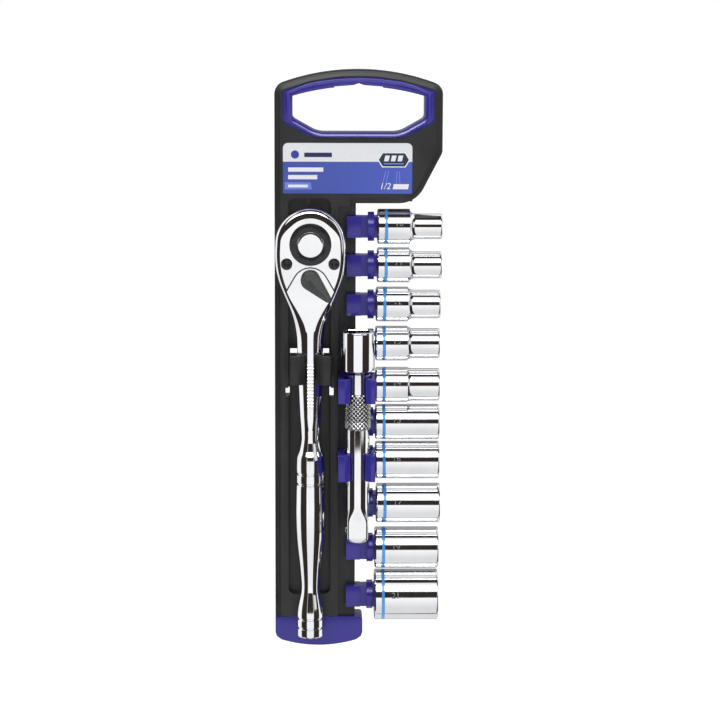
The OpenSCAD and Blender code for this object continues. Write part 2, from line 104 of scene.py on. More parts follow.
class Finish:
    """A material made of nodes round one Principled shader."""

    def __init__(self, name, **constants):
        self.material = bpy.data.materials.new(name)
        self.material.use_nodes = True
        self.tree = self.material.node_tree
        self.shader = next(n for n in self.tree.nodes if n.type == "BSDF_PRINCIPLED")
        for key, value in constants.items():
            self.shader.inputs[key.replace("_", " ")].default_value = value

    def node(self, kind, settings=None, inputs=None, out=0):
        made = self.tree.nodes.new(kind)
        for key, value in (settings or {}).items():
            setattr(made, key, value)
        for key, value in (inputs or {}).items():
            self.feed(made.inputs[key], value)
        return Value(self, made.outputs[out])

    def feed(self, socket, value):
        if isinstance(value, Value):
            self.tree.links.new(value.socket, socket)
        else:
            socket.default_value = value

    def maths(self, operation, a, b):
        return self.node("ShaderNodeMath", {"operation": operation}, {0: a, 1: b})

    def place(self):
        return self.node("ShaderNodeTexCoord", out="Object")

    def axes(self):
        split = self.node("ShaderNodeSeparateXYZ", inputs={0: self.place()}).socket.node
        return [Value(self, split.outputs[i]) for i in range(3)]

    def noise(self, scale, detail=2.0, stretch=(1, 1, 1)):
        spread = self.node("ShaderNodeVectorMath", {"operation": "MULTIPLY"}, {0: self.place(), 1: stretch})
        return self.node("ShaderNodeTexNoise", inputs={"Vector": spread, "Scale": scale, "Detail": detail})

    def between(self, value, low, high, start=0.0, end=1.0):
        return self.node(
            "ShaderNodeMapRange",
            {"clamp": True},
            {"Value": value, "From Min": low, "From Max": high, "To Min": start, "To Max": end},
        )

    def blend(self, amount, a, b):
        return self.node("ShaderNodeMix", {"data_type": "RGBA"}, {0: amount, 6: a, 7: b}, out=2)

    def colour(self, value):
        self.feed(self.shader.inputs["Base Color"], value)

    def rough(self, value):
        self.feed(self.shader.inputs["Roughness"], value)

    def relief(self, height, depth_mm, strength=1.0):
        bump = self.node("ShaderNodeBump", inputs={"Strength": strength, "Distance": depth_mm * MM,
                                                "Height": height})
        self.feed(self.shader.inputs["Normal"], bump)


def rgb(r, g, b):
    return (r, g, b, 1.0)


def chrome():
    f = Finish("chrome", Metallic=1.0)
    film = f.between(f.noise(45, 4), 0.35, 0.7)
    wipes = f.between(f.noise(160, 3, (1, 1, 0.12)), 0.45, 0.75)
    f.colour(f.blend(film, rgb(0.93, 0.935, 0.945), rgb(0.86, 0.865, 0.875)))
    f.rough(0.045 + 0.05 * film + 0.05 * wipes)
    f.relief(f.noise(70, 1), 0.02)
    return f.material


def worn_chrome():
    f = Finish("knurled_chrome", Metallic=1.0)
    f.colour(f.blend(f.noise(300, 2), rgb(0.95, 0.95, 0.96), rgb(0.85, 0.85, 0.86)))
    f.rough(f.between(f.noise(500, 2), 0.3, 0.7, 0.1, 0.2))
    return f.material


def black_plastic():
    f = Finish("black_plastic")
    grain = f.noise(2600, 2)
    rub = f.between(f.noise(38, 5), 0.45, 0.75)
    f.colour(f.blend(rub, rgb(0.015, 0.015, 0.016), rgb(0.026, 0.026, 0.027)))
    f.rough(f.between(grain, 0.3, 0.7, 0.34, 0.46) + 0.06 * rub)
    f.relief(grain, 0.04, 0.6)
    return f.material


def blue_plastic():
    f = Finish("blue_plastic")
    flow = f.noise(30, 3)
    f.colour(f.blend(f.between(flow, 0.3, 0.7), rgb(0.028, 0.02, 0.24), rgb(0.034, 0.025, 0.28)))
    f.rough(f.between(f.noise(400, 2), 0.3, 0.7, 0.2, 0.25))
    f.relief(f.noise(500, 2), 0.002, 0.5)
    return f.material


def polished_blue():
    """The same blue, polished by hands."""
    f = Finish("polished_blue", Coat_Weight=0.7, Coat_Roughness=0.06)
    f.colour(f.blend(f.noise(30, 3), rgb(0.028, 0.02, 0.24), rgb(0.036, 0.027, 0.3)))
    f.rough(f.between(f.noise(400, 2), 0.3, 0.7, 0.14, 0.18))
    f.relief(f.noise(500, 2), 0.001, 0.5)
    return f.material


def label_print():
    """White band over a blue field."""
    low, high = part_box("label")
    f = Finish("label_print", Coat_Weight=0.35, Coat_Roughness=0.12)
    x, _, z = f.axes()
    band = f.between(z, high.z - 10.9 * MM, high.z - 10.8 * MM)
    tint = f.between(x, low.x, high.x)
    field = f.blend(tint, rgb(0.04, 0.07, 0.36), rgb(0.055, 0.095, 0.5))
    paper = f.blend(f.noise(700, 2), rgb(0.7, 0.71, 0.74), rgb(0.78, 0.79, 0.81))
    f.colour(f.blend(band, field, paper))
    f.rough(f.between(f.noise(300, 2), 0.3, 0.7, 0.3, 0.42))
    f.relief(f.noise(900, 2), 0.01, 0.5)
    return f.material


def ink(name, colour, rough=0.4):
    f = Finish(name)
    f.colour(f.blend(f.noise(1200, 2), rgb(*colour), rgb(*[c * 0.85 for c in colour])))
    f.rough(f.between(f.noise(600, 1), 0.3, 0.7, rough - 0.05, rough + 0.08))
    return f.material


def size_band():
    f = Finish("blue_band", Coat_Weight=0.6, Coat_Roughness=0.06)
    f.colour(f.blend(f.noise(260, 3), rgb(0.03, 0.22, 0.62), rgb(0.07, 0.36, 0.8)))
    f.rough(f.between(f.noise(700, 2), 0.3, 0.7, 0.22, 0.36))
    return f.material


def etched_mark():
    f = Finish("etched_mark", Metallic=1.0)
    f.colour(f.blend(f.noise(1500, 2), rgb(0.2, 0.2, 0.21), rgb(0.34, 0.34, 0.35)))
    f.rough(f.between(f.noise(2200, 2), 0.3, 0.7, 0.45, 0.65))
    return f.material


def black_steel():
    f = Finish("black_steel")
    f.colour(f.blend(f.noise(300, 4), rgb(0.007, 0.007, 0.008), rgb(0.018, 0.018, 0.019)))
    f.rough(f.between(f.noise(1400, 2), 0.3, 0.7, 0.2, 0.32))
    f.relief(f.noise(1800, 2), 0.015, 0.5)
    return f.material


def grey_coat():
    f = Finish("grey_coat")
    f.colour(f.blend(f.noise(250, 4), rgb(0.035, 0.038, 0.038), rgb(0.07, 0.075, 0.075)))
    f.rough(f.between(f.noise(1500, 2), 0.3, 0.7, 0.2, 0.34))
    f.relief(f.noise(1600, 2), 0.02, 0.6)
    return f.material


def bare_steel(name, light, rough, turned=(1, 1, 1)):
    f = Finish(name, Metallic=1.0)
    marks = f.noise(700, 3, turned)
    f.colour(f.blend(marks, rgb(light, light, light * 1.02), rgb(light * 0.8, light * 0.8, light * 0.83)))
    f.rough(f.between(marks, 0.3, 0.7, rough - 0.06, rough + 0.1))
    f.relief(marks, 0.01, 0.5)
    return f.material


LOOKS = {
    "chrome": chrome(),
    "black_plastic": black_plastic(),
    "blue_plastic": blue_plastic(),
    "label_print": label_print(),
    "black_steel": black_steel(),
    "grey_lever": grey_coat(),
    "plain_steel": bare_steel("plain_steel", 0.7, 0.2),
    "spring_steel": bare_steel("spring_steel", 0.5, 0.3, (1, 1, 6)),
    "zinc_steel": bare_steel("zinc_steel", 0.62, 0.32),
}
SLOT_OF = {row["node"]: row["material_slot"] for row in frame["record"]["subparts"]}
BODY_OF = {node: body for body, nodes in frame["record"]["behaviour"]["bodies"].items() for node in nodes}


# ---------- mesh making ----------


def finished(name, mesh, body, slot, look, node=None, crease=32):
    """Puts a mesh in the scene as a piece that rides on a body, and smooths it between its creases."""
    work = bmesh.new()
    work.from_mesh(mesh)
    bmesh.ops.recalc_face_normals(work, faces=work.faces)
    work.to_mesh(mesh)
    work.free()
    mesh.shade_smooth()
    mesh.set_sharp_from_angle(angle=math.radians(crease))
    mesh.materials.clear()
    mesh.materials.append(look)
    piece = bpy.data.objects.new(name, mesh)
    bpy.context.scene.collection.objects.link(piece)
    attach(piece, body)
    if node:
        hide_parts(node)
    return piece


def node_piece(name, node, mesh, crease=32):
    """A piece that stands for one CAD node."""
    slot = SLOT_OF[node]
    return finished(name, mesh, BODY_OF[node], slot, LOOKS[slot], node, crease)


def extra_piece(name, mesh, on, look, crease=32):
    """A piece that has no CAD node of its own and rides with the node on."""
    return finished(name, mesh, BODY_OF[on], SLOT_OF[on], look, crease=crease)


def mesh_of(name, verts, faces):
    """A mesh from points in millimetres."""
    mesh = bpy.data.meshes.new(name)
    mesh.from_pydata([Vector(v) * MM for v in verts], [], faces)
    return mesh


def skin(rings, round_trip=False):
    """Faces over rings of points with one count. A round trip joins the last ring to the first."""
    count = len(rings[0])
    verts = [p for ring in rings for p in ring]
    faces = []
    for i in range(len(rings) if round_trip else len(rings) - 1):
        a, b = i * count, (i + 1) % len(rings) * count
        for k in range(count):
            j = (k + 1) % count
            faces.append((a + k, b + k, b + j, a + j))
    if not round_trip:
        faces.append(tuple(range(count)))
        faces.append(tuple(range(len(verts) - 1, len(verts) - count - 1, -1)))
    return verts, faces


def circle_r(radius):
    return lambda angle: radius


def polygon_r(across, flats, turn=0.0):
    """Radius of a regular polygon by angle. across is measured over its flats."""
    step = math.tau / flats

    def radius(angle):
        off = (angle - turn) % step
        return across / 2 / math.cos(off - step / 2)

    return radius


def rounded_square_r(side, power):
    """Radius of a square with soft corners: power 2 is a circle, and a high power is nearly square."""

    def radius(angle):
        c, s = abs(math.cos(angle)), abs(math.sin(angle))
        return side / 2 / (c**power + s**power) ** (1 / power)

    return radius


def turned(sections, to_world, sides=SIDES):
    """Rings for sections of (distance along the axis, radius by angle)."""
    angles = [math.tau * k / sides for k in range(sides)]
    return [[to_world(along, shape(a), a) for a in angles] for along, shape in sections]


def refined(node, width, segments=2, chosen=None, name=None, crease=32, cutter=None):
    """The CAD node's own shape with its edges rounded. chosen picks the edges; all sharp ones otherwise."""
    work = bmesh.new()
    work.from_mesh(frame["nodes"][node].data)
    bmesh.ops.remove_doubles(work, verts=work.verts, dist=2e-6)
    bmesh.ops.dissolve_limit(
        work, angle_limit=math.radians(0.6), verts=work.verts, edges=work.edges, delimit={"NORMAL"}
    )
    sharp = [e for e in work.edges if len(e.link_faces) == 2 and e.calc_face_angle(0) > math.radians(28)]
    if chosen:
        sharp = [e for e in sharp if chosen(e)]
    if width:
        bmesh.ops.bevel(
            work, geom=sharp, offset=width * MM, offset_type="OFFSET", segments=segments, profile=0.5,
            affect="EDGES", clamp_overlap=True,
        )
    mesh = bpy.data.meshes.new(name or node)
    work.to_mesh(mesh)
    work.free()
    if cutter:
        mesh = cut_with(mesh, cutter)
    return node_piece((name or node) + "_part", node, mesh, crease)


def cut_with(mesh, cutter):
    """mesh with the solid cutter taken away."""
    whole = bpy.data.objects.new("whole", mesh)
    tool = bpy.data.objects.new("tool", cutter)
    for o in (whole, tool):
        bpy.context.scene.collection.objects.link(o)
    cut = whole.modifiers.new("cut", "BOOLEAN")
    cut.operation = "DIFFERENCE"
    cut.solver = "EXACT"
    cut.object = tool
    depsgraph = bpy.context.evaluated_depsgraph_get()
    result = bpy.data.meshes.new_from_object(whole.evaluated_get(depsgraph))
    for o in (whole, tool):
        bpy.data.objects.remove(o)
    return result


def middle(node):
    low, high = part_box(node)
    return (low + high) / 2 / MM


# ---------- sockets ----------


def socket_sections(size, length, drive_r, nut_r):
    """All the way round a socket's wall: outside, nut mouth, hexagon, web, square hole and drive end."""
    across = size + HEX_PLAY
    hexagon = polygon_r(across, 6, math.radians(0))
    square = polygon_r(DRIVE_HOLE, 4)
    mouth_r = across / math.sqrt(3) + 0.35
    web_r = min(size / 2 - 1.2, 5.6)
    ring = circle_r
    outside = [(0, drive_r - 0.9), (0.3, drive_r - 0.32), (0.9, drive_r), (1.1, drive_r), (4.1, drive_r),
               (4.28, drive_r), (4.36, drive_r - 0.24), (6.04, drive_r - 0.24),
                (6.12, drive_r), (6.3, drive_r)]
    if nut_r < drive_r - 0.2:
        start, end = 19.0, 22.8
        outside += [(start - 0.4, drive_r), (start - 0.1, drive_r)]
        for i in range(8):
            a = math.pi / 2 * i / 7
            outside.append((start + (end - start) * (1 - math.cos(a)),
                            nut_r + (drive_r - nut_r) * (1 - math.sin(a))))
        outside.append((end + 0.3, nut_r))
    outside += [(length - 1.1, nut_r), (length - 0.75, nut_r), (length - 0.25, nut_r - 0.22),
                (length, nut_r - 0.7)]
    inside = [(length, ring(mouth_r)), (length - 0.9, hexagon), (length - 15.9, hexagon),
              (length - 16, ring(web_r)), (16, ring(web_r)), (15.9, square), (0.4, square), (0, square)]
    return [(along, ring(r)) for along, r in outside] + inside


def socket_piece(size):
    node = f"socket_{size}mm"
    low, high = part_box(node)
    length = (high.x - low.x) / MM
    drive_r = (high.z - low.z) / 2 / MM
    nut_r = NUT_END_R.get(size, drive_r)
    centre = middle(node)
    x0 = low.x / MM

    def to_world(along, r, angle):
        return (x0 + along, centre.y - r * math.sin(angle), centre.z + r * math.cos(angle))

    verts, faces = skin(turned(socket_sections(size, length, drive_r, nut_r), to_world), round_trip=True)
    node_piece(node + "_shell", node, mesh_of(node, verts, faces), crease=24)
    band = [(4.38, drive_r - 0.22), (4.38, drive_r - 0.04), (4.5, drive_r - 0.01), (5.9, drive_r - 0.01),
            (6.02, drive_r - 0.04), (6.02, drive_r - 0.22)]
    verts, faces = skin(turned([(a, circle_r(r)) for a, r in band], to_world), round_trip=True)
    extra_piece(node + "_band", mesh_of(node + "_band", verts, faces), node, SIZE_BAND, crease=60)
    stamp(node, str(size), x0, centre, drive_r)


def lettering(text, size, thickness):
    """A closed mesh of plain numerals in the XY plane, centred, in millimetres."""
    curve = bpy.data.curves.new("numerals", "FONT")
    curve.body = text
    curve.size = size
    curve.extrude = thickness / 2
    curve.align_x = "CENTER"
    curve.align_y = "CENTER"
    curve.resolution_u = 4
    holder = bpy.data.objects.new("numerals", curve)
    bpy.context.scene.collection.objects.link(holder)
    mesh = bpy.data.meshes.new_from_object(holder.evaluated_get(bpy.context.evaluated_depsgraph_get()))
    bpy.data.objects.remove(holder)
    return mesh


def stamp(node, text, x0, centre, radius):
    """Etches the size number on the front of a socket, between its blue band and its shoulder."""
    mesh = lettering(text, 5.2, 0.06)
    work = bmesh.new()
    work.from_mesh(mesh)
    bmesh.ops.triangulate(work, faces=work.faces)
    for _ in range(2):
        long = [e for e in work.edges if e.calc_length() > 0.8]
        if long:
            bmesh.ops.subdivide_edges(work, edges=long, cuts=1)
            bmesh.ops.triangulate(work, faces=work.faces)
    for v in work.verts:
        along = x0 + 12.6 + v.co.x
        angle = (v.co.y + 2.6) / radius
        r = radius + v.co.z + 0.005
        v.co = Vector((along, centre.y - r * math.cos(angle), centre.z + r * math.sin(angle))) * MM
    work.to_mesh(mesh)
    work.free()
    extra_piece(node + "_number", mesh, node, ETCHED, crease=50)


# ---------- ratchet ----------


def smoothstep(t):
    t = min(1.0, max(0.0, t))
    return t * t * (3 - 2 * t)


def straight(points, at):
    if at >= points[0][0]:
        return points[0][1]
    for (a, va), (b, vb) in zip(points, points[1:]):
        if at >= b:
            return va + (vb - va) * (a - at) / (a - b)
    return points[-1][1]


# Heights are measured from the drive's axis, downwards negative, in millimetres
NECK_CURVE = [(20.3, 0), (22.5, -27), (10, -31), (7.6, -56)]
GRIP = [(-56, 7.6), (-60.1, 7.5), (-99.7, 6.3), (-113, 5.65), (-116.5, 5.6), (-122, 6.6), (-125.6, 8.0),
        (-128.5, 8.35),
        (-135.3, 8.4), (-135.7, 7.9), (-136.4, 7.9), (-136.8, 8.4), (-141.2, 8.4), (-141.6, 7.9),
        (-142.3, 7.9),
        (-142.7, 8.4), (-152, 8.7), (-162.1, 8.8), (-176.9, 8.15), (-192.8, 6.4), (-202, 5.6), (-205.8, 5.5),
        (-209.5, 5.9), (-214, 6.9), (-218.5, 7.7), (-223, 8.0), (-223.4, 7.5), (-224, 7.5), (-224.4, 8.0),
        (-228.6, 8.0), (-229, 7.5), (-229.6, 7.5), (-230, 8.0), (-234.3, 7.9), (-234.8, 7.6), (-235.1, 7.0)]
RINGED = [(-135.3, -142.7), (-223, -235.1)]


def neck_point(t):
    u = 1 - t
    weights = (u**3, 3 * u * u * t, 3 * u * t * t, t**3)
    return [sum(w * p[i] for w, p in zip(weights, NECK_CURVE)) for i in (1, 0)]


NECK = [neck_point(t / 24) for t in range(25)]


def half_width(z, head_r):
    """Half the ratchet's width at a height below the drive's axis."""
    if z > 0:
        return math.sqrt(max(0.0, head_r**2 - z**2))
    if z > NECK[-1][0]:
        return spline(NECK, z)
    if any(high >= z >= low for high, low in RINGED):
        return straight(GRIP, z)
    return spline(GRIP, z)


def spline(points, at):
    """A curve with no corners through points of (place, value) in falling order of place."""
    if at >= points[0][0]:
        return points[0][1]
    for i in range(len(points) - 1):
        (a, va), (b, vb) = points[i], points[i + 1]
        if at >= b:
            before, after = points[max(i - 1, 0)], points[min(i + 2, len(points) - 1)]
            slope_a = (vb - before[1]) / (b - before[0])
            slope_b = (after[1] - va) / (after[0] - a)
            t, span = (at - a) / (b - a), b - a
            return (
                (2 * t**3 - 3 * t**2 + 1) * va + (t**3 - 2 * t**2 + t) * span * slope_a
                + (3 * t**2 - 2 * t**3) * vb + (t**3 - t**2) * span * slope_b
            )
    return points[-1][1]


def ratchet_handle():
    """Head, neck, shank and grip as one skin. Each row is a closed loop through both edges and both faces."""
    _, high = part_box("ratchet_handle")
    button = middle("release_button")
    axis_x, axis_z = button.x, button.z
    floor = -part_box("head_cover")[1].y / MM
    back = -high.y / MM
    middle_depth = (floor + 2.5 + back) / 2
    head_r = high.z / MM - axis_z
    steps = 9
    heights = [head_r * math.cos(math.radians(a)) for a in range(0, 90, 4)]
    heights += [-0.5 - i * 1.25 for i in range(0, 96)] + [-120.2 - i * 0.7 for i in range(0, 22)]
    heights = [z for z in heights if z > RINGED[0][0] + 0.2]
    heights += [p[0] for p in GRIP if RINGED[0][0] >= p[0] >= RINGED[0][1]]
    heights += [RINGED[0][1] - 0.3 - i * 1.8 for i in range(0, 45)]
    heights = [z for z in heights if z > RINGED[1][0] + 0.2] + [p[0] for p in GRIP if p[0] <= RINGED[1][0]]
    rows = []
    for z in heights:
        width = max(half_width(z, head_r), 0.02)
        shank = smoothstep((-30 - z) / 26)
        round_grip = smoothstep((-100 - z) / 22)
        front = floor + (middle_depth + width - floor) * round_grip
        rear = back + (middle_depth - width - back) * round_grip
        neck_thin = 2.1 * smoothstep((-24 - z) / 26) * (1 - round_grip)
        rear += neck_thin
        radial = z > 0
        inset_mm = 3.4 + (width - 1.7 - 3.4) * shank
        inset_mm += (width - inset_mm) * round_grip
        drop = 3.2 + 1.9 * shank
        drop += ((front - rear) / 2 - drop) * round_grip
        slope = shank * (1 - round_grip) * 0.45
        lean = math.atan2(width, z) if radial else math.pi / 2
        right = []
        for k in range(steps + 1):
            t = k / steps
            arc_in, arc_up = 1 - math.cos(math.pi / 2 * t), math.sin(math.pi / 2 * t)
            inward = inset_mm * (arc_in + (t - arc_in) * slope)
            up = drop * (arc_up + (t - arc_up) * slope)
            if radial:
                reach = head_r - inward
                right.append((reach * math.sin(lean), up, reach * math.cos(lean)))
            else:
                right.append((width - inward, up, z))
        front_side = [(x, front - drop + up, zz) for x, up, zz in right]
        back_side = [(x, rear + drop - up, zz) for x, up, zz in right]
        loop = front_side + [(-x, d, zz) for x, d, zz in reversed(front_side)]
        loop += [(-x, d, zz) for x, d, zz in back_side] + [(x, d, zz) for x, d, zz in reversed(back_side)]
        rows.append([(axis_x + x, -d, axis_z + zz) for x, d, zz in loop])
    verts, faces = skin(rows)
    mesh = mesh_of("ratchet_handle", verts, faces)
    work = bmesh.new()
    work.from_mesh(mesh)
    bmesh.ops.remove_doubles(work, verts=work.verts, dist=0.01 * MM)
    work.to_mesh(mesh)
    work.free()
    node_piece("ratchet_forging", "ratchet_handle", mesh, crease=16)


def cylinder(x, z, r, back, front):
    """A round cutter from front to back."""
    rings = [[(x + r * math.cos(a), -d, z + r * math.sin(a)) for a in (math.tau * k / SIDES
             for k in range(SIDES))]
             for d in (back, front)]
    verts, faces = skin(rings)
    mesh = mesh_of("cutter", verts, faces)
    work = bmesh.new()
    work.from_mesh(mesh)
    bmesh.ops.recalc_face_normals(work, faces=work.faces)
    work.to_mesh(mesh)
    work.free()
    return mesh


def head_cover():
    """The cover plate: a wide slope at the crown, narrow at its sides, with holes for drive and screws."""
    low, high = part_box("head_cover")
    back, front = -high.y / MM, -low.y / MM
    centre = middle("drive_gear")
    outline = evenly(front_loops("head_cover")[0], 1.2)

    def slope(p):
        crown = smoothstep((p[1] - centre.z - 2) / 12)
        return 0.8 + 2.1 * crown

    rings = [[(x, -(back + 0.02), z) for x, z in outline], [(x, -(back + 0.2), z) for x, z in outline]]
    rings.append([(x, -(front - 0.8 * slope((x, z))), z) for x, z in outline])
    inner = moved_in(outline, slope)
    rings.append([(x, -front, z) for x, z in inner])
    verts, faces = skin(rings)
    plate_mesh = mesh_of("head_cover", verts, faces)
    work = bmesh.new()
    work.from_mesh(plate_mesh)
    bmesh.ops.recalc_face_normals(work, faces=work.faces)
    work.to_mesh(plate_mesh)
    work.free()
    screws = middle("cover_screws")
    _, screw_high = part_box("cover_screws")
    reach = (screw_high.x / MM - screws.x) - 3.3
    plate_mesh = cut_with(plate_mesh, cylinder(centre.x, button_z(), 12.3, back - 2, front + 2))
    for side in (-1, 1):
        plate_mesh = cut_with(plate_mesh, cylinder(screws.x + side * reach, screws.z, 3.42,
                                     back + 1.1, front + 2))
    node_piece("head_cover_plate", "head_cover", plate_mesh, crease=20)


def button_z():
    return middle("release_button").z


def release_button():
    """A nearly flat button with a rounded edge, over its plunger."""
    low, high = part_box("release_button")
    centre = middle("release_button")
    r = (high.x - low.x) / 2 / MM
    back, front = -high.y / MM, -low.y / MM
    seat = -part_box("head_cover")[0].y / MM - 3.5
    profile = [(back, 2.3), (back + 3, 2.3), (back + 5.5, 1.3), (back + 7.8, 1.3), (back + 9, 2.5),
               (seat, 2.5),
               (seat, r), (front - 1.4, r), (front - 1.0, r - 0.08), (front - 0.68, r - 0.35),
               (front - 0.55, r - 0.8),
               (front - 0.5, r - 1.3), (front - 0.5, r - 1.5), (front - 0.5, 2), (front - 0.5, 0.5)]

    def to_world(along, radius, angle):
        return (centre.x + radius * math.cos(angle), -along, centre.z + radius * math.sin(angle))

    verts, faces = skin(turned([(a, circle_r(q)) for a, q in profile], to_world))
    node_piece("release_button_turned", "release_button", mesh_of("button", verts, faces), crease=32)


def embossed_panel():
    """Plain straight ribs raised across the shank."""
    axis = middle("release_button")
    face = -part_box("head_cover")[1].y / MM - 0.2
    for i in range(SHANK_RIBS):
        z = axis.z - 71.5 - i * RIB_PITCH
        outline = [(axis.x - 1.9, z), (axis.x + 1.9, z), (axis.x + 1.9, z + 1.0), (axis.x - 1.9, z + 1.0)]
        rings = [[(x, -(face + rise), zz) for x, zz in outline] for rise in (-1.6, 0.25)]
        rings.append([(x, -(face + 0.42), zz) for x, zz in moved_in(outline, 0.25)])
        verts, faces = skin(rings)
        name = f"shank_rib_{i}"
        extra_piece(name, mesh_of(name, verts, faces), "ratchet_handle", LOOKS["chrome"], crease=40)


def reversing_lever():
    """Teardrop lever: flat foot, rounded edge and a shallow thumb dish over the pivot."""
    low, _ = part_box("reversing_lever")
    pivot_x = middle("release_button").x
    tip_reach, big, small = 14.6, 5.7, 2.1
    _, cover_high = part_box("head_cover")
    pivot_z = middle("release_button").z - 20.8
    angle = math.radians(43)
    foot = -cover_high.y / MM + 0.3
    top = -low.y / MM
    tangent = math.asin((big - small) / tip_reach)
    outline = []
    for i in range(41):
        a = -tangent + (math.pi + 2 * tangent) * i / 40
        outline.append((0, 0, big, a))
    for i in range(21):
        a = math.pi + tangent + (math.pi - 2 * tangent) * i / 20
        outline.append((0, -tip_reach, small, a))

    def ring(shrink, height, dish=0.0):
        pts = []
        for cx, cz, r, a in outline:
            reach = max(r - shrink * (1 if r == big else 0.8), 0.15)
            x, z = cx + reach * math.cos(a), cz + reach * math.sin(a)
            sink = dish * max(0.0, 1 - (x * x + z * z) / 22)
            wx = pivot_x + x * math.cos(angle) - z * math.sin(angle)
            wz = pivot_z + x * math.sin(angle) + z * math.cos(angle)
            pts.append((wx, -(height - sink), wz))
        return pts

    rise = top - foot
    rings = [ring(0.5, foot), ring(0.1, foot + 0.2), ring(0, foot + 0.6), ring(0, foot + rise * 0.66)]
    rings += [ring(0.16, foot + rise * 0.82), ring(0.5, foot + rise * 0.93), ring(0.95, foot + rise * 0.99)]
    rings += [ring(1.3, top), ring(1.9, top, 0.5), ring(3.0, top, 0.8), ring(4.3, top, 0.95)]
    verts, faces = skin(rings)
    node_piece("reversing_lever_blade", "reversing_lever", mesh_of("lever", verts, faces), crease=40)


# ---------- extension bar ----------


def extension_bar():
    """Socket end, shaft and drive square of the bar, with the square hole in its top, as one skin."""
    low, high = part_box("extension_bar")
    centre = middle("extension_bar")
    bottom, top = low.z / MM, high.z / MM
    end_r = (high.x - low.x) / 2 / MM
    shaft_r = 7.0
    outside = []
    for z, side, power in [(0, 6.6, 2.2), (0.15, 8.4, 2.4), (0.7, 10.2, 3), (1.6, 11.7, 4.4), (2.9, 12.6, 7),
                           (4.2, DRIVE_SQUARE, 9), (12.6, DRIVE_SQUARE, 9), (14.2, 12.75, 7), (16.4, 13.1, 4),
                           (18.6, 13.6, 2.6), (20.6, 13.9, 2.1)]:
        outside.append((z, rounded_square_r(side, power)))
    outside += [(z, circle_r(r)) for z, r in [(22, shaft_r), (67.7, shaft_r), (68.2, 6.9), (88.9, 6.9),
                                              (89.4, shaft_r), (99.9, shaft_r), (100.8, 7.3),
                                               (102.4, end_r - 0.6)]]
    outside += [(z, circle_r(r)) for z, r in [(102.9, end_r - 0.15), (103.5, end_r), (103.8, end_r)]]
    length = top - bottom
    outside += [(length - z, circle_r(end_r - r)) for z, r in [(1.2, 0), (0.9, 0), (0.35, 0.2), (0, 0.75)]]
    inside = [(length - 0.01, rounded_square_r(DRIVE_HOLE + 0.5, 12)),
              (length - 0.5, rounded_square_r(DRIVE_HOLE, 14)),
              (length - 16, rounded_square_r(DRIVE_HOLE, 14))]

    def to_world(along, r, angle):
        turn = angle
        return (centre.x + r * math.cos(turn), centre.y + r * math.sin(turn), bottom + along)

    verts, faces = skin(turned(outside + inside, to_world))
    node_piece("extension_bar_shell", "extension_bar", mesh_of("bar", verts, faces), crease=26)
    knurl(centre, bottom + 67.9, bottom + 89.2)


def knurl(centre, start, end):
    """A sleeve of crossed diamond knurling with a chamfer at both ends; its groove faces get near-black steel
    as painted shade.
    """
    around, per_diamond = 18, 6
    sides = around * per_diamond
    pitch = math.tau * 7.4 / around
    rows = int((end - start) / pitch * per_diamond)
    rings = [[ring_point(centre, start, 6.6, math.tau * k / sides) for k in range(sides)]]
    for i in range(rows + 1):
        z = start + (end - start) * i / rows
        fade = min(1.0, min(z - start, end - z) / 0.9)
        ring = []
        for k in range(sides):
            a = math.tau * k / sides
            u = a * around / math.tau
            v = (z - start) / pitch
            ridge = min(abs((u + v) % 1 - 0.5), abs((u - v) % 1 - 0.5)) * 2
            ring.append(ring_point(centre, z, 6.9 + fade * 0.8 * min(1.0, ridge * 2.6), a))
        rings.append(ring)
    rings.append([ring_point(centre, end, 6.6, math.tau * k / sides) for k in range(sides)])
    verts, faces = skin(rings, round_trip=True)
    sleeve = extra_piece("extension_bar_knurl", mesh_of("knurl", verts, faces), "extension_bar",
                         KNURLED, crease=70)
    # second material: near-black steel painted on the groove faces as shade in the grooves
    sleeve.data.materials.append(GROOVE_SHADE)
    for face in sleeve.data.polygons:
        across = face.center / MM - Vector((centre.x, centre.y, start))
        u = math.atan2(across.y, across.x) * around / math.tau
        v = across.z / pitch
        if min(abs((u + v) % 1 - 0.5), abs((u - v) % 1 - 0.5)) < 0.15:
            face.material_index = 1


def ring_point(centre, z, r, angle):
    return (centre.x + r * math.cos(angle), centre.y + r * math.sin(angle), z)


# ---------- holder ----------


def tray_outline(inset=0.0):
    """The shell's front outline, anticlockwise, moved inwards by inset, in millimetres."""
    low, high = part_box("tray")
    left, right, top, foot = low.x / MM, high.x / MM, high.z / MM, low.z / MM
    strip_right = left + 47.6
    plate_bottom = -69.7
    arc_r, corner_r = 132.4, 7.0
    side = right - corner_r
    rise = math.sqrt((arc_r - corner_r) ** 2 - side**2)
    lean = math.degrees(math.atan2(rise, side))
    corner_z = top - arc_r + rise
    pts = [(left, foot - 3), (strip_right, foot - 3), (strip_right, plate_bottom)]
    pts += rounded_corner((strip_right, plate_bottom), (33.5, plate_bottom), (right, -40), 16)
    pts += rounded_corner((33.5, plate_bottom), (right, -40), (right, corner_z), 6)
    pts += arc_points(side, corner_z, corner_r, 0, lean, 9)
    pts += arc_points(0, top - arc_r, arc_r, lean, 180 - lean, 40)[1:-1]
    pts += arc_points(-side, corner_z, corner_r, 180 - lean, 180, 9)
    return moved_in(pts, inset)


def arc_points(cx, cz, r, start, end, count):
    angles = [math.radians(start + (end - start) * i / (count - 1)) for i in range(count)]
    return [(cx + r * math.cos(a), cz + r * math.sin(a)) for a in angles]


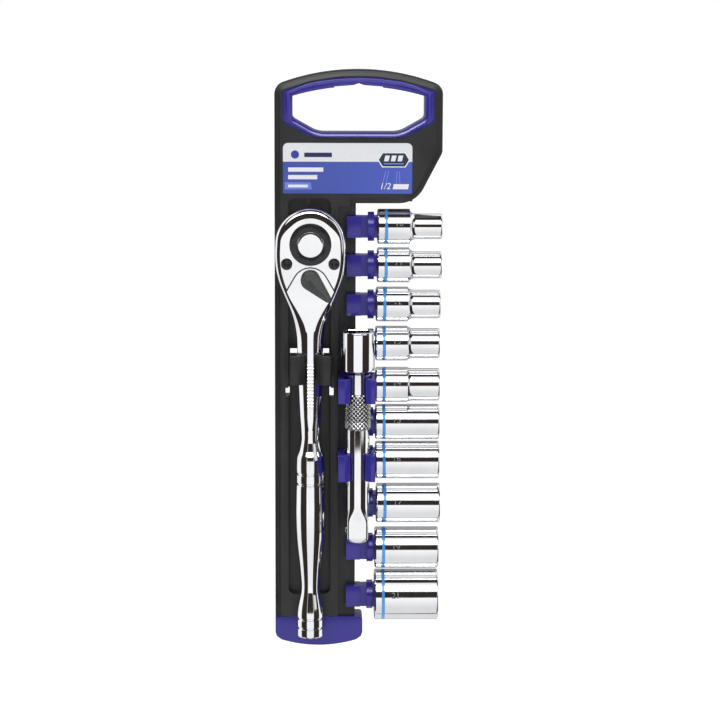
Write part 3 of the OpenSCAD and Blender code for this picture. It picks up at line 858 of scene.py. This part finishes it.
def rounded_corner(before, at, after, r, count=9):
    a, b = (Vector(p) - Vector(at) for p in (before, after))
    a.normalize()
    b.normalize()
    half = a.angle(b) / 2
    centre = Vector(at) + (a + b).normalized() * r / math.sin(half)
    start = Vector(at) + a * r / math.tan(half) - centre
    end = Vector(at) + b * r / math.tan(half) - centre
    first = math.atan2(start.y, start.x)
    turn = (math.atan2(end.y, end.x) - first + math.pi) % math.tau - math.pi
    return [
        (centre.x + r * math.cos(first + turn * i / (count - 1)),
         centre.y + r * math.sin(first + turn * i / (count - 1)))
        for i in range(count)
    ]


def moved_in(pts, inset):
    """An anticlockwise outline moved inwards. inset is a width, or gives one for each point."""
    width = inset if callable(inset) else lambda p: inset
    out = []
    for i, p in enumerate(pts):
        inset = width(p)
        a = (Vector(p) - Vector(pts[i - 1])).normalized()
        b = (Vector(pts[(i + 1) % len(pts)]) - Vector(p)).normalized()
        m = (a + b).normalized()
        out.append((p[0] - m.y * inset / m.dot(a), p[1] + m.x * inset / m.dot(a)))
    return out


def front_loops(node):
    """Outlines of a CAD node's front face in millimetres, anticlockwise, the longest first."""
    low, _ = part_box(node)
    work = bmesh.new()
    work.from_mesh(frame["nodes"][node].data)
    bmesh.ops.remove_doubles(work, verts=work.verts, dist=2e-6)
    flat = {f for f in work.faces if all(v.co.y - low.y < 0.02 * MM for v in f.verts)}
    after = {}
    for face in flat:
        for loop in face.loops:
            if sum(f in flat for f in loop.edge.link_faces) == 1:
                after[loop.vert] = loop.link_loop_next.vert
    loops = []
    while after:
        start, v = next(iter(after.items()))
        pts = [start.co.copy()]
        del after[start]
        while v in after:
            pts.append(v.co.copy())
            v = after.pop(v)
        loops.append([(p.x / MM, p.z / MM) for p in pts])
    work.free()
    for i, pts in enumerate(loops):
        if sum(a[0] * b[1] - b[0] * a[1] for a, b in zip(pts, pts[1:] + pts[:1])) < 0:
            loops[i] = pts[::-1]
    return sorted(loops, key=len_round, reverse=True)


def len_round(pts):
    return sum(math.dist(a, b) for a, b in zip(pts, pts[1:] + pts[:1]))


def evenly(pts, step):
    """The same outline with long straight runs divided."""
    out = []
    for a, b in zip(pts, pts[1:] + pts[:1]):
        count = max(1, round(math.dist(a, b) / step))
        out += [(a[0] + (b[0] - a[0]) * k / count, a[1] + (b[1] - a[1]) * k / count) for k in range(count)]
    return out


def grip_bead():
    """A bead that slopes to the hand opening and passes outside the hang notch."""
    face = -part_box("grip_ring")[0].y / MM
    inner = front_loops("grip_ring")[1]
    left = min(p[0] for p in inner)
    corner_z = max(p[1] for p in inner if p[0] < left + 0.01)
    top = -1.8
    rise = top - corner_z
    arch_r = (left * left + rise * rise) / (2 * rise)
    path = [p for p in inner if p[1] <= corner_z]
    turn = next(i for i, p in enumerate(path) if p[0] < left + 0.01 and abs(p[1] - corner_z) < 0.01)
    path = path[turn:] + path[:turn]
    crown = [(left + -left * 2 * i / 40, 0) for i in range(1, 40)][::-1]
    path += [(x, top - arch_r + math.sqrt(arch_r**2 - x * x)) for x, _ in crown]
    section = [(-0.4, face - 0.4), (-0.4, face + 0.15), (-0.6, face + 0.45), (-1.3, face + 0.8),
               (-2.1, face + 1.16),
               (-2.5, face + 1.22), (-2.9, face + 0.9), (-3.1, face), (-3.1, face - 0.4)]
    path = evenly(path, 3)

    def clear_of_notch(inset):
        return lambda p: inset - 1.9 * smoothstep((p[1] + 9) / 5)

    rings = [[(x, -depth, z) for x, z in moved_in(path, clear_of_notch(inset))] for inset, depth in section]
    verts, faces = skin(rings, round_trip=True)
    extra_piece("grip_ring_bead", mesh_of("bead", verts, faces), "grip_ring", BEAD, crease=50)


def rim_cutter():
    """A ring that takes the shell's front edge down to a rounded, sloping rim."""
    face = SHELL_DEPTH
    section = [(-2, face - 1.9), (0, face - 1.85), (0.2, face - 1.35), (0.7, face - 0.9), (1.6, face - 0.62),
               (2.7, face - 0.4), (3.35, face + 0.02), (3.4, face + 2), (-2, face + 2)]
    rings = [[(x, -depth, z) for x, z in tray_outline(inset)] for inset, depth in section]
    verts, faces = skin(rings, round_trip=True)
    cutter = mesh_of("rim", verts, faces)
    work = bmesh.new()
    work.from_mesh(cutter)
    bmesh.ops.recalc_face_normals(work, faces=work.faces)
    work.to_mesh(cutter)
    work.free()
    return cutter


def plate(name, outline, back, front, look, soft=0.06):
    """A thin printed shape on the label, with a softened front edge."""
    rings = [[(x, -back, z) for x, z in outline], [(x, -(front - soft), z) for x, z in outline]]
    rings.append([(x, -front, z) for x, z in moved_in(outline, soft)])
    verts, faces = skin(rings)
    return extra_piece(name, mesh_of(name, verts, faces), "label", look, crease=40)


def bar_outline(x0, z0, x1, z1, lean=0.0):
    return [(x0, z0), (x1, z0), (x1 + lean, z1), (x0 + lean, z1)]


def hexagon_outline(x0, z0, x1, z1, cut):
    mid = (z0 + z1) / 2
    return [(x0 + cut, z0), (x1 - cut, z0), (x1, mid), (x1 - cut, z1), (x0 + cut, z1), (x0, mid)]


def label_prints():
    """Plain shapes where a label would have its print: bars for lines of text, a badge and a size."""
    low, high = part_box("label")
    left, right, top, foot = low.x / MM, high.x / MM, high.z / MM, low.z / MM
    face = -low.y / MM
    layer = [face - 0.02, face + 0.05, face + 0.1, face + 0.14]
    white = ink("white_ink", (0.86, 0.87, 0.9), 0.35)
    navy = ink("navy_ink", (0.02, 0.02, 0.1), 0.35)
    blue = ink("blue_ink", (0.03, 0.05, 0.36), 0.35)
    teal = ink("dark_ink", (0.02, 0.04, 0.045), 0.3)
    sky = ink("sky_ink", (0.16, 0.24, 0.75), 0.3)
    x, z = left + 4, top - 8.6
    turns = [math.tau * k / 40 for k in range(40)]
    dot = [(x + 3 + DOT_R * math.cos(a), z + 1.9 + DOT_R * math.sin(a)) for a in turns]
    plate("label_dot", dot, layer[0], layer[1], blue)
    plate("label_title_bar", bar_outline(x + 8.4, z + 0.4, x + 24.5, z + 3.0), layer[0], layer[1], navy)
    for i, (width, height, drop) in enumerate(((20.5, 2.5, 3.0), (17.0, 2.5, 7.4))):
        z1 = top - 11.2 - drop
        plate(f"label_line_{i}", bar_outline(left + 3, z1 - height, left + 3 + width, z1),
              layer[0], layer[1], white)
    tag = [(left + 1.0, foot + 2.4), (left + 17.0, foot + 2.4), (left + 16.0, foot + 6.6),
           (left + 1.0, foot + 6.6)]
    plate("label_tag", tag, layer[0], layer[1], sky)
    plate("label_tag_line", bar_outline(left + 3, foot + 3.6, left + 14.5, foot + 5.2),
              layer[1] - 0.01, layer[2], white)
    badge = (right - 20.3, top - 14.1, right - 1.2, top - 5.3)
    plate("badge_edge", hexagon_outline(*badge, 2.7), layer[0], layer[1], white)
    inner = (badge[0] + 0.75, badge[1] + 0.55, badge[2] - 0.75, badge[3] - 0.55)
    plate("badge_field", hexagon_outline(*inner, 2.4), layer[1] - 0.01, layer[2], teal)
    for i in range(3):
        x = inner[0] + 3.0 + i * 3.9
        plate(f"badge_bar_{i}", bar_outline(x, inner[1] + 3.0, x + 2.7, inner[3] - 1.3, 0.8),
              layer[2] - 0.01, layer[3], white)
    plate("badge_line", bar_outline(inner[0] + 3, inner[1] + 1.2, inner[2] - 3, inner[1] + 1.9),
          layer[2] - 0.01, layer[3], sky)
    for i, (x0, lean) in enumerate(((right - 17.6, 2.0), (right - 15.6, 1.6), (right - 9.6, 0.5),
                                     (right - 7.4, -0.3))):
        plate(f"label_ray_{i}", bar_outline(x0, foot + 5.6, x0 + 0.5, top - 16.2, lean),
              layer[0], layer[1], sky)
    drive = lettering("1/2", 5.2, 0.08)
    for v in drive.vertices:
        v.co = Vector((right - 15.6 + v.co.x + v.co.y * 0.2, -(face + 0.07 + v.co.z),
                      foot + 4.2 + v.co.y)) * MM
    extra_piece("label_drive_size", drive, "label", white, crease=50)
    plate("label_drive_bar", bar_outline(right - 11.4, foot + 2.6, right - 2.4, foot + 5.6, 0.6),
          layer[0], layer[1], white)


def front_only(node):
    low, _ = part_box(node)

    def chosen(edge):
        return all(abs(v.co.y - low.y) < 0.05 * MM for v in edge.verts)

    return chosen


def holder():
    refined("tray", 0.3, 2, crease=20, cutter=rim_cutter())
    refined("grip_ring", 0.8, 4, chosen=front_only("grip_ring"))
    grip_bead()
    refined("peg_rail", 0.4, 2)
    refined("end_cap", 0.9, 3)
    refined("upper_bar_clip", 0.45, 2)
    refined("lower_bar_clip", 0.45, 2)
    refined("ratchet_clip", 0.45, 2)
    refined("label", 0.08, 1)
    label_prints()


# ---------- studio ----------


class Room(Finish):
    """The same wrapper round a node tree that already exists."""

    def __init__(self, tree):
        self.tree = tree


def studio_world():
    """White room for the chrome to mirror: dark at both sides, ahead and behind, with a bright box above."""
    world = bpy.data.worlds.new("studio")
    bpy.context.scene.world = world
    world.use_nodes = True
    tree = world.node_tree
    sky = next(n for n in tree.nodes if n.type == "BACKGROUND")

    f = Room(tree)
    heading = f.node("ShaderNodeTexCoord", out="Generated")
    split = f.node("ShaderNodeSeparateXYZ", inputs={0: heading}).socket.node
    x, y, z = (Value(f, split.outputs[i]) for i in range(3))
    azimuth = f.maths("ABSOLUTE", f.maths("ARCTAN2", x, 0 - y), 0.0)
    panels = f.between(azimuth, 0.5, 0.54) * f.between(azimuth, 1.46, 1.4) * f.between(z, 0.95, 0.91)
    strip = f.between(azimuth, 0.5, 0.46) * f.between(z, -0.06, -0.045) * f.between(z, 0.42, 0.39)
    above = f.between(z, 0.89, 0.92)
    behind = f.between(azimuth, 2.2, 2.5) * f.between(z, -0.7, -0.5) * f.between(z, 0.65, 0.45)
    dark = f.maths("MINIMUM", panels + strip + above + 0.7 * behind, 1.0)
    pale = f.blend(f.between(z, -0.8, -0.2), rgb(0.78, 0.78, 0.79), rgb(1.02, 1.02, 1.03))
    top_box = f.between(azimuth, 0.48, 0.44) * f.between(z, 0.46, 0.5) * f.between(z, 0.8, 0.74)
    mirrored = f.blend(dark, pale, rgb(0.03, 0.024, 0.021))
    mirrored = f.blend(top_box, mirrored, rgb(6, 6, 6.1))
    soft = f.blend(f.between(z, -0.6, 0.9), rgb(0.42, 0.42, 0.43), rgb(0.8, 0.8, 0.81))
    glossy = f.node("ShaderNodeLightPath", out="Is Glossy Ray")
    ways = f.node("ShaderNodeLightPath", out="Is Camera Ray")
    f.feed(sky.inputs["Color"], f.blend(ways, f.blend(glossy, soft, mirrored), rgb(1, 1, 1)))
    sky.inputs["Strength"].default_value = 1.0


def soft_light(name, place, look_at, size, power):
    lamp = bpy.data.lights.new(name, "AREA")
    lamp.shape = "RECTANGLE"
    lamp.size, lamp.size_y = size
    lamp.energy = power
    o = bpy.data.objects.new(name, lamp)
    bpy.context.scene.collection.objects.link(o)
    o.location = place
    o.rotation_euler = (Vector(look_at) - Vector(place)).to_track_quat("-Z", "Y").to_euler()


def floor():
    low, _ = cad_bounds
    z = low[2] - FLOOR_DROP
    rings = [(-30, -30), (30, -30), (30, 30), (-30, 30)]
    mesh = bpy.data.meshes.new("studio_floor")
    mesh.from_pydata([(x, y, z) for x, y in rings], [], [(0, 1, 2, 3)])
    f = Finish("studio_floor", Emission_Color=rgb(1, 1, 1), Emission_Strength=0.35)
    f.colour(rgb(0.95, 0.95, 0.95))
    f.rough(0.9)
    mesh.materials.append(f.material)
    o = bpy.data.objects.new("studio_floor", mesh)
    bpy.context.scene.collection.objects.link(o)
    o.visible_glossy = False


def camera():
    """Straight in front and a little above, far enough away to see the rail almost square on."""
    lens = bpy.data.cameras.new("camera")
    lens.lens = 110
    lens.sensor_width = 36
    lens.clip_end = 200
    o = bpy.data.objects.new("camera", lens)
    bpy.context.scene.collection.objects.link(o)
    target = Vector((1.28, -16, -162.4)) * MM
    elevation, side, distance = math.radians(8.8), math.radians(-1.2), 1.3
    away = Vector((math.sin(side) * math.cos(elevation), -math.cos(side) * math.cos(elevation),
                  math.sin(elevation)))
    o.location = target + away * distance
    facing = (target - o.location).to_track_quat("-Z", "Y").to_euler()
    facing.rotate_axis("Z", math.radians(0.2))
    o.rotation_euler = facing
    bpy.context.scene.camera = o


for node, part in frame["nodes"].items():
    part.data.materials.clear()
    part.data.materials.append(LOOKS[SLOT_OF[node]])

SIZE_BAND = size_band()
BEAD = polished_blue()
ETCHED = etched_mark()
KNURLED = worn_chrome()
# near-black steel for the knurl's groove faces: painted shade in the grooves
GROOVE_SHADE = bare_steel("knurl_groove_shade", 0.035, 0.5)

camera()
floor()
studio_world()
soft_light("key", (-0.9, -1.6, 1.3), (0, 0, -0.15), (1.2, 1.2), 7)
soft_light("fill", (1.3, -1.2, 0.4), (0, 0, -0.15), (0.9, 1.4), 3)
bpy.context.scene.view_settings.view_transform = "Standard"

holder()
ratchet_handle()
head_cover()
refined("drive_gear", 0.35, 2)
refined("cover_screws", 0.2, 2)
release_button()
embossed_panel()
reversing_lever()
extension_bar()
for size in SOCKET_SIZES:
    socket_piece(size)
